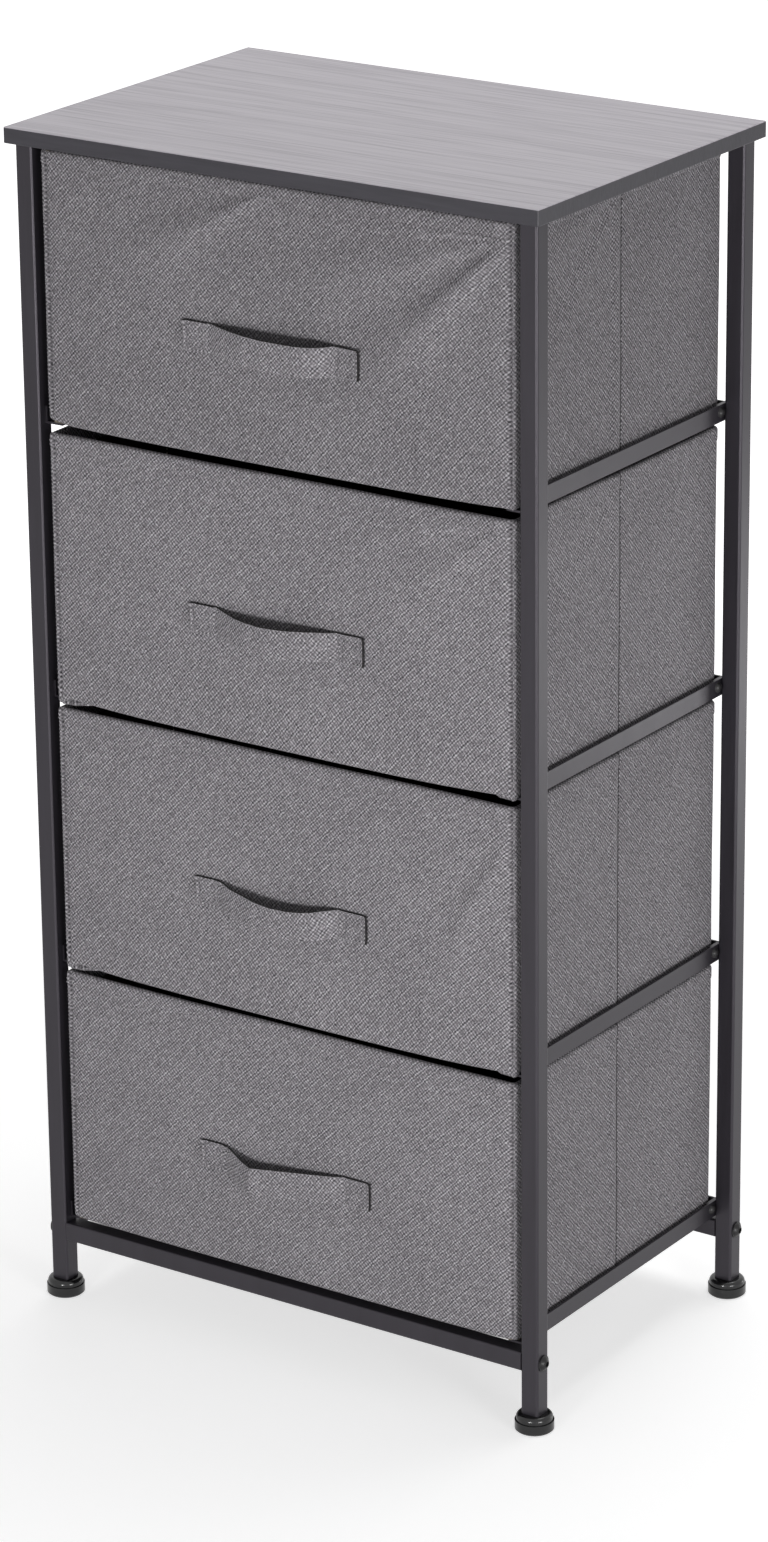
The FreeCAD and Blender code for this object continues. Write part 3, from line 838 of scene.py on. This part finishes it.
# how far the free part stands off and droops, in millimetres at places along it, and its
# creases: place, depth and width
strapShapes = {
    4: {"stand": [(-56, 0), (-50, 1), (-43, 4), (-30, 8), (-17, 11), (0, 12.4), (26, 12.7), (35.8, 12),
                  (44.3, 9), (51, 5.2), (53, 1), (54, 0)],
        "droop": [(-54, 0), (-30, 1.0), (0, 2.2), (26, 2.2), (45, 1.2), (54, 0.3)],
        "creases": ((23.5, 0.5, 1.6), (-54, 0.5, 0.9))},
    3: {"stand": [(-56, 0), (-51, 0.8), (-45, 3.2), (-31, 8.5), (-19, 11.5), (-7, 12.7), (3, 12.7), (13, 12),
                  (22.6, 10.5), (31.6, 8), (40, 5.2), (49, 2.8), (52.5, 1.2), (54, 0)],
        "droop": [(-54, 0), (-45, 1.2), (-31, 2.6), (-7, 3.4), (13, 2.7), (31, 1.6), (45, 0.7), (54, 0)],
        "creases": ((46, 0.8, 1.0), (53.0, 1.0, 0.9), (15, 0.4, 1.5), (-53, 0.6, 0.9))},
    2: {"stand": [(-56, 0), (-53, 1.4), (-43, 5.5), (-30, 9), (-17, 12), (-1, 13.2), (15, 13.2), (25, 12.2),
                  (34, 10), (42, 6), (50, 1.8), (53, 0.6), (54, 0)],
        "droop": [(-54, 0), (-43, 2.4), (-30, 3.5), (-17, 5), (-1, 6.2), (15, 5.6), (25, 4.6), (34, 3.2),
                  (42, 1.5), (50, 0.2), (54, 0)],
        "creases": ((51.0, 0.9, 1.0), (18, 0.5, 1.4), (30, 0.4, 1.4), (-54, 0.4, 0.9))},
    1: {"stand": [(-57, 0), (-53, 0.8), (-44, 5), (-35, 9), (-24, 13.2), (-12, 11.5), (-2.6, 10.2), (7, 9),
                  (16, 7.4), (26, 6), (35, 5), (45, 3.4), (52, 1.4), (54, 0)],
        "droop": [(-56, 0), (-44, 3), (-35, 5.2), (-24, 7), (-12, 6), (-2.6, 5.2), (7, 4.3), (16, 3.6),
                  (26, 2.8), (35, 1.8), (45, 0.8), (54, 0)],
        "creases": ((-6, 0.5, 1.4), (6, 0.5, 1.4), (14, 0.4, 1.2), (53.4, 0.9, 0.9), (-53, 0.9, 0.9))},
}
boxInner = strap["halfLength"] - strap["sewn"] + strap["boxInset"]      # ends and half height of the box
boxOuter = strap["halfLength"] - strap["boxInset"]
boxHalf = strap["width"] / 2 - strap["boxInset"]


def smoothLine(marks, x):
    # a line through marks, in millimetres, with its corners softened by a running mean over 2.5 mm
    places, values = np.array(marks).T * mm
    fineX = np.linspace(-90 * mm, 90 * mm, 721)
    window = np.hanning(11)
    line = np.convolve(np.interp(fineX, places, values), window / window.sum(), "same")
    return np.interp(x, fineX, line)


def strapMiddle(tier, x):
    # the line along the middle of the strap's thickness and width
    shape = strapShapes[tier]
    low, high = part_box(f"drawer_{tier}_handle")
    level = (low[2] + high[2]) / 2
    relief = wallRelief(x, drawerFront, 0, -1, level - bottomOf(tier), drawerShapes[tier])
    freed = smoothStep(strap["halfLength"] - strap["sewn"] - np.abs(x), *strap["freeStart"])
    half = (strap["sewnThickness"] * (1 - freed) + strap["thickness"] * freed) / 2
    stand = smoothLine(shape["stand"], x)
    stand = stand + strap["rim"] * smoothStep(np.abs(x), boxOuter, strap["halfLength"])
    for place, depth, width in shape["creases"]:
        stand = stand - depth * mm * bell(x, place * mm, width * mm)
    y = drawerFront - relief - half - strap["clearance"] - np.maximum(stand, strap["deepest"])
    return np.stack([x, y, level - smoothLine(shape["droop"], x)], -1), half, freed


def boxDips(x, across):
    # 1 on the stitch lines of the sewn ends, dying out as a bell beside them: the four sides of a box
    # and its two diagonals; the box runs from -1 to 1 both ways, and the distance from a diagonal is
    # the difference or the sum of the two, over the root of two
    reach, root = 1.04, 1.4
    alongBox = (np.abs(x) - (boxInner + boxOuter) / 2) / ((boxOuter - boxInner) / 2)
    acrossBox = across / boxHalf
    inBox = (np.abs(alongBox) < reach) & (np.abs(acrossBox) < reach)
    lines = [np.abs(alongBox) - 1, np.abs(acrossBox) - 1]
    lines += [(alongBox - acrossBox) / root, (alongBox + acrossBox) / root]
    dips = sum(bell(line * boxHalf, 0, strap["puckerWidth"]) for line in lines)
    return np.clip(dips, 0, 1) * inBox


def makeStrap(tier):
    # a flat rounded section carried along the strap's middle line, folded double at both ends: its
    # columns go down the face, round the lower edge, up the back and round the upper edge
    x = np.linspace(-strap["halfLength"], strap["halfLength"], strap["stations"])
    middle, half, freed = strapMiddle(tier, x)
    half, freed = half[:, None], freed[:, None]
    tangent = np.gradient(middle, axis=0)
    tangent /= np.linalg.norm(tangent, axis=1)[:, None]
    upward = np.array([0, 0, 1]) - tangent[:, 2:] * tangent
    upward /= np.linalg.norm(upward, axis=1)[:, None]
    outward = np.cross(tangent, upward)
    upFace = np.linspace(1, -1, strap["faceColumns"])
    face = (strap["width"] / 2 - half) * upFace
    turn = np.radians(np.linspace(90, -90, strap["edgeColumns"] + 2))[None, 1:-1]
    # the free part bends back at its edges, the sewn ends bend forward outside their stitching
    rimShare = smoothStep(np.abs(face), boxHalf - strap["rimStart"], strap["width"] / 2)
    bend = strap["rim"] * (1 - freed) * rimShare - strap["curl"] * freed * upFace ** 2
    dips = strap["pucker"] * boxDips(x[:, None], face)
    notch = strap["notch"] * (1 - freed) * bell(np.degrees(turn), 0, strap["notchSpread"])
    rounding = half * np.cos(turn) - notch
    rimOut = half * np.sin(turn)
    across = np.hstack([face, face[:, -1:] - rounding, -face, face[:, :1] + rounding])
    out = np.hstack([half + bend - dips, rimOut + bend[:, :1], bend - half, bend[:, :1] - rimOut])
    points = middle[:, None] + upward[:, None] * across[..., None] + outward[:, None] * out[..., None]
    caps = [middle[row] + upward[row] * across[row][:, None] * strap["capShare"] + [side * strap["cap"], 0, 0]
            for row, side in ((0, -1), (-1, 1))]
    points = np.vstack([caps[:1], points, caps[1:]])
    ran = runLength(middle)
    along = np.concatenate([[-strap["cap"]], ran, [ran[-1] + strap["cap"]]])
    loop = runLength(np.stack([across[0], out[0]], 1))
    loop = np.append(loop, loop[-1] + strap["thickness"] / 2)
    uv = gridCorners(np.stack(np.broadcast_arrays(along[:, None], -loop[None, :]), -1))
    # the strip's fold lies below; its edge on top and its ends get near-black felt, painted shade for the
    # dark gaps round the strap
    fromLast = points.shape[1] - np.arange(points.shape[1])
    dark = np.tile((fromLast > 1) & (fromLast <= strap["edgeColumns"]), (len(points) - 1, 1))
    dark[[0, -1]] = True
    band = newPiece(f"drawer{tier}Strap", points, gridQuads(*points.shape[:2], wrap=True), strapCloth,
                    f"drawer_{tier}", uv, merge=1e-5, second=(edgeShadeFelt, dark))
    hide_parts(f"drawer_{tier}_handle")


for tier in tiers:
    makeStrap(tier)
print("straps made")


stitch = {
    "pitch": 3.0 * mm,
    "share": 0.6,                # of the pitch that lies on top
    "radius": 0.4 * mm,
    "whiteRadius": 0.48 * mm,
    "sunk": 0.15 * mm,           # how deep the straps' stitches lie in the cloth
    "besideSeam": 2.6 * mm,      # from the groove to the front corners' stitching
    "low": 9 * mm,               # where that begins over the bottom and ends under the top
    "high": 4 * mm,
    "liningLow": 6 * mm,         # where the lining's seams begin over the bottom and end under the hem
    "liningHigh": 1 * mm,
}


def makeStitches(name, starts, ends, outward, material, tier, radius):
    # short threads: a six-sided section that swells between its two ends and arches as half a wave;
    # each has five rings of points, and its ends are closed
    part = np.linspace(0, 1, 5)[None, :, None]
    swell = radius * np.array([0.35, 0.9, 1, 0.9, 0.35])[None, :, None, None]
    along = ends - starts
    length = np.linalg.norm(along, axis=1)[:, None]
    outward = outward / np.linalg.norm(outward, axis=1)[:, None]
    aside = np.cross(along / length, outward)
    aside /= np.linalg.norm(aside, axis=1)[:, None]
    arch = radius * (np.sin(np.pi * part) * 0.9 - 0.3)
    middle = starts[:, None] + along[:, None] * part + outward[:, None] * arch
    turn = np.radians(np.arange(6) * 60)[:, None]
    ring = aside[:, None, None] * np.cos(turn) + outward[:, None, None] * np.sin(turn)
    points = middle[:, :, None] + ring * swell
    caps = [[3, 2, 1, 0], [5, 4, 3, 0], [24, 25, 26, 27], [24, 27, 28, 29]]
    one = np.vstack([gridQuads(5, 6, wrap=True), caps])
    quads = (one[None] + 30 * np.arange(len(starts))[:, None, None]).reshape(-1, 4)
    newPiece(name, points, quads, material, f"drawer_{tier}")


def dashes(start, end):
    # starts and ends of the stitches on a straight run, in whichever two measures it is given
    start, end = np.array(start, float), np.array(end, float)
    count = max(int(np.linalg.norm(end - start) / stitch["pitch"]), 1)
    first = np.arange(count)[:, None] / count
    gap = (1 - stitch["share"]) / 2 / count
    return start + (end - start) * (first + gap), start + (end - start) * (first + 1 / count - gap)


def joined(runs):
    # all the starts and all the ends of several runs
    return [np.vstack([run[side] for run in runs]) for side in (0, 1)]


def coverStitches(tier):
    # down both front corners, and along the hem all round
    low, high = stitch["low"], wallHeight - stitch["high"]
    right, left = seamPlaces()
    right, left = right - stitch["besideSeam"], left + stitch["besideSeam"]
    hem = wallHeight - drawer["hemLine"]
    seams = {
        "Corner": (greyThread, [dashes((right, low), (right, high)), dashes((left, low), (left, high))]),
        "Hem": (hemThread, [dashes((0, hem), (planLength, hem))]),
    }
    for name, (thread, runs) in seams.items():
        spots = joined(runs)
        starts, ends = (coverPoint(tier, spot[:, 0], 0 * spot[:, 0], spot[:, 1]) for spot in spots)
        outX, outY = onPlan(drawerPlan, spots[0][:, 0])[2:]
        outward = np.stack([outX, outY, 0 * outX], -1)
        makeStitches(f"drawer{tier}{name}Thread", starts, ends, outward, thread, tier, stitch["radius"])


def strapStitches(tier):
    # a box with a cross in it on each sewn end
    runs = []
    for side in (-1, 1):
        inner, outer = side * boxInner, side * boxOuter
        corners = [(inner, -boxHalf), (outer, -boxHalf), (outer, boxHalf), (inner, boxHalf)]
        pairs = [*zip(corners, corners[1:] + corners[:1]), corners[::2], corners[1::2]]
        runs += [dashes(*pair) for pair in pairs]
    places = []
    for spot in joined(runs):
        middle, half, freed = strapMiddle(tier, spot[:, 0])
        middle[:, 1] -= half - stitch["sunk"]
        middle[:, 2] += spot[:, 1]
        places.append(middle)
    outward = np.tile([0.0, -1.0, 0.0], (len(places[0]), 1))
    makeStitches(f"drawer{tier}StrapThread", *places, outward, greyThread, tier, stitch["radius"])


def liningStitches(tier):
    # white seams down the side walls, inside
    low, high = stitch["liningLow"], wallHeight - drawer["hemHeight"] - stitch["liningHigh"]
    runs, sides = [], []
    for side in (-1, 1):
        for y in bag["seams"]:
            runs.append(dashes((y, low), (y, high)))
            sides += [side] * len(runs[-1][0])
    sides = np.array(sides, float)
    x = sides * (drawerHalf - bag["depth"])
    places = [np.stack([x, spot[:, 0], bottomOf(tier) + spot[:, 1]], -1) for spot in joined(runs)]
    outward = np.stack([-sides, 0 * sides, 0 * sides], -1)
    makeStitches(f"drawer{tier}LiningThread", *places, outward, whiteThread, tier, stitch["whiteRadius"])


for tier in tiers:
    coverStitches(tier)
    strapStitches(tier)
    liningStitches(tier)
print("stitching made")


view = {
    "place": (2.157, -3.177, 1.829),
    "azimuth": 34.25,
    "elevation": 20.10,
    "roll": -0.59,
    "focal": 5537,               # in pixels of a picture this high
    "imageHeight": 1542,
    "sensor": 36,
}

eye = newObject("camera", bpy.data.cameras.new("camera"))
eye.data.sensor_width = view["sensor"]
eye.data.lens = view["focal"] / view["imageHeight"] * view["sensor"]
turned = (Matrix.Rotation(math.radians(view["azimuth"]), 4, "Z")
          @ Matrix.Rotation(math.radians(90 - view["elevation"]), 4, "X")
          @ Matrix.Rotation(math.radians(view["roll"]), 4, "Z"))
eye.matrix_world = Matrix.Translation(view["place"]) @ turned
bpy.context.scene.camera = eye

studio = {
    "sky": 0.18,                 # how strongly the sky lights the dresser
    "floor": 0.8,                # share of light the floor throws back
    "floorHalf": 8.0,            # half its side
    "floorGlow": 0.62,           # lifts the floor's look without lighting the dresser
    "farGlow": 0.4,              # added to it for the camera alone, from the first distance to the second
    "near": 0.45,
    "far": 1.9,
    "aim": (0, 0, 0.45),         # what the lamps point at
    "lamps": {
        "key": {"place": (0.5, -2.7, 0.24), "size": 0.45, "power": 32},
        "side": {"place": (2.75, -1.25, 0.3), "size": 1.0, "power": 41},
        "corner": {"place": (0.85, 1.15, 0.06), "size": 0.4, "power": 1.6},
        "top": {"place": (0.0, 0.9, 3.2), "size": 2.0, "power": 33},
    },
}

for name, lamp in studio["lamps"].items():
    data = bpy.data.lights.new(name, "AREA")
    data.shape = "DISK"
    data.size = lamp["size"]
    data.energy = lamp["power"]
    light = newObject(name, data)
    light.visible_camera = False
    aim = Vector(studio["aim"]) - Vector(lamp["place"])
    light.matrix_world = Matrix.Translation(lamp["place"]) @ aim.to_track_quat("-Z", "Y").to_matrix().to_4x4()


def whatSees(tree):
    # 1 for rays from the camera or off something shiny, and the light path with its other answers
    path = addNode(tree, "LightPath").outputs
    return calculate(tree, "MAXIMUM", path["Is Camera Ray"], path["Is Glossy Ray"]), path


world = bpy.data.worlds.new("studio")
bpy.context.scene.world = world
world.use_nodes = True
skyTree = world.node_tree
sky = skyTree.nodes["Background"]
sky.inputs["Color"].default_value = (1, 1, 1, 1)
seen, path = whatSees(skyTree)
seen = calculate(skyTree, "MAXIMUM", seen, path["Is Transmission Ray"])
skyTree.links.new(rangeOn(skyTree, seen, studio["sky"], 1.0), sky.inputs["Strength"])

floorCorners = [(-1, -1, 0), (1, -1, 0), (1, 1, 0), (-1, 1, 0)]
floorMesh = bpy.data.meshes.new("floor")
floorMesh.from_pydata((np.array(floorCorners) * studio["floorHalf"]).tolist(), [], [(0, 1, 2, 3)])
floor = newObject("floor", floorMesh)
floorMaterial, floorTree, floorShader = newMaterial("white floor", {
    "Base Color": (studio["floor"],) * 3 + (1,), "Roughness": 0.9, "Emission Color": (1, 1, 1, 1)})
seen, path = whatSees(floorTree)
spot = addNode(floorTree, "TexCoord").outputs["Object"]
distance = addNode(floorTree, "VectorMath", {0: spot}, operation="LENGTH").outputs["Value"]
away = addNode(floorTree, "MapRange", {
    "Value": distance, "From Min": studio["near"], "From Max": studio["far"], "To Max": studio["farGlow"]},
    interpolation_type="SMOOTHSTEP").outputs["Result"]
glow = calculate(floorTree, "MULTIPLY", seen, studio["floorGlow"])
glow = calculate(floorTree, "MULTIPLY_ADD", away, path["Is Camera Ray"], glow)
floorTree.links.new(glow, floorShader.inputs["Emission Strength"])
floorMesh.materials.append(floorMaterial)
bpy.context.scene.view_settings.view_transform = "Standard"
print("studio set")
